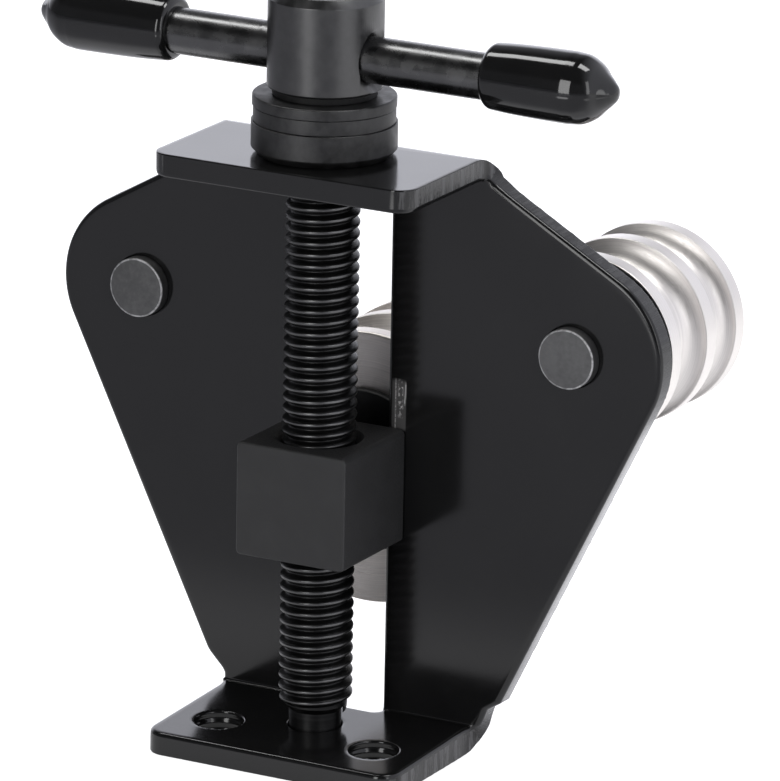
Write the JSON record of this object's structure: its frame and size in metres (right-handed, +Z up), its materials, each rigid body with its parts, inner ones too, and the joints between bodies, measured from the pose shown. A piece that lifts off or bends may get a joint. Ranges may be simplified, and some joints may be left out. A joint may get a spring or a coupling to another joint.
{
  "type": "brake pipe bender",
  "caption": "Screw-driven pipe bender: folded plate frame, T-handle lead screw and a grooved former that rises between grooved rollers.",
  "frame": {"origin": "midway between the two bench holes, on the underside of the base", "axes": "+Z up along the lead screw, +X along the cross bar, -Y towards the open front, rollers on the +Y side"},
  "size_m": [0.0735, 0.0404, 0.0846],
  "materials": {
    "black_paint": "semi-gloss black powder coat",
    "oxide_steel": "dark oxide, satin",
    "black_oxide_block": "black oxide, matte",
    "nickel": "satin nickel, turned",
    "spring_steel": "phosphated spring steel",
    "vinyl": "glossy dip-moulded vinyl"
  },
  "bodies": {
    "frame": {"frame": "black_paint", "thrust_washer_lower": "oxide_steel", "roller_pin_left": "oxide_steel", "roller_pin_right": "oxide_steel", "roller_spacer_left": "oxide_steel", "roller_spacer_right": "oxide_steel", "roller_clip_left": "spring_steel", "roller_clip_right": "spring_steel"},
    "screw": {"lead_screw": "oxide_steel", "handle_hub": "oxide_steel", "handle_bar": "oxide_steel", "grip_left": "vinyl", "grip_right": "vinyl", "thrust_washer_upper": "oxide_steel", "thrust_washer_middle": "oxide_steel"},
    "nut_block": {"nut_block": "black_oxide_block", "guide_washer": "black_oxide_block", "former_clip": "spring_steel"},
    "former": {"former": "nickel"},
    "roller_left": {"roller_left": "nickel"},
    "roller_right": {"roller_right": "nickel"}
  },
  "joints": [
    {"name": "screw_turn", "type": "hinge", "parent": "frame", "child": "screw", "pos_m": [0, 0.0042, 0.07755], "axis": [0, 0, -1], "range_deg": [-3600, 7920]},
    {"name": "block_slide", "type": "slide", "parent": "frame", "child": "nut_block", "axis": [0, 0, 1], "range_m": [-0.0125, 0.0275]},
    {"name": "former_spin", "type": "hinge", "parent": "nut_block", "child": "former", "pos_m": [0, 0.02295, 0.02897], "axis": [0, 1, 0], "continuous": true},
    {"name": "roller_left_spin", "type": "hinge", "parent": "frame", "child": "roller_left", "pos_m": [-0.0263, 0.02295, 0.0464], "axis": [0, 1, 0], "continuous": true},
    {"name": "roller_right_spin", "type": "hinge", "parent": "frame", "child": "roller_right", "pos_m": [0.0263, 0.02295, 0.0464], "axis": [0, 1, 0], "continuous": true}
  ],
  "couplings": [
    {"joint": "screw_turn", "follows": "block_slide", "rad_per_m": 5026.5}
  ]
}
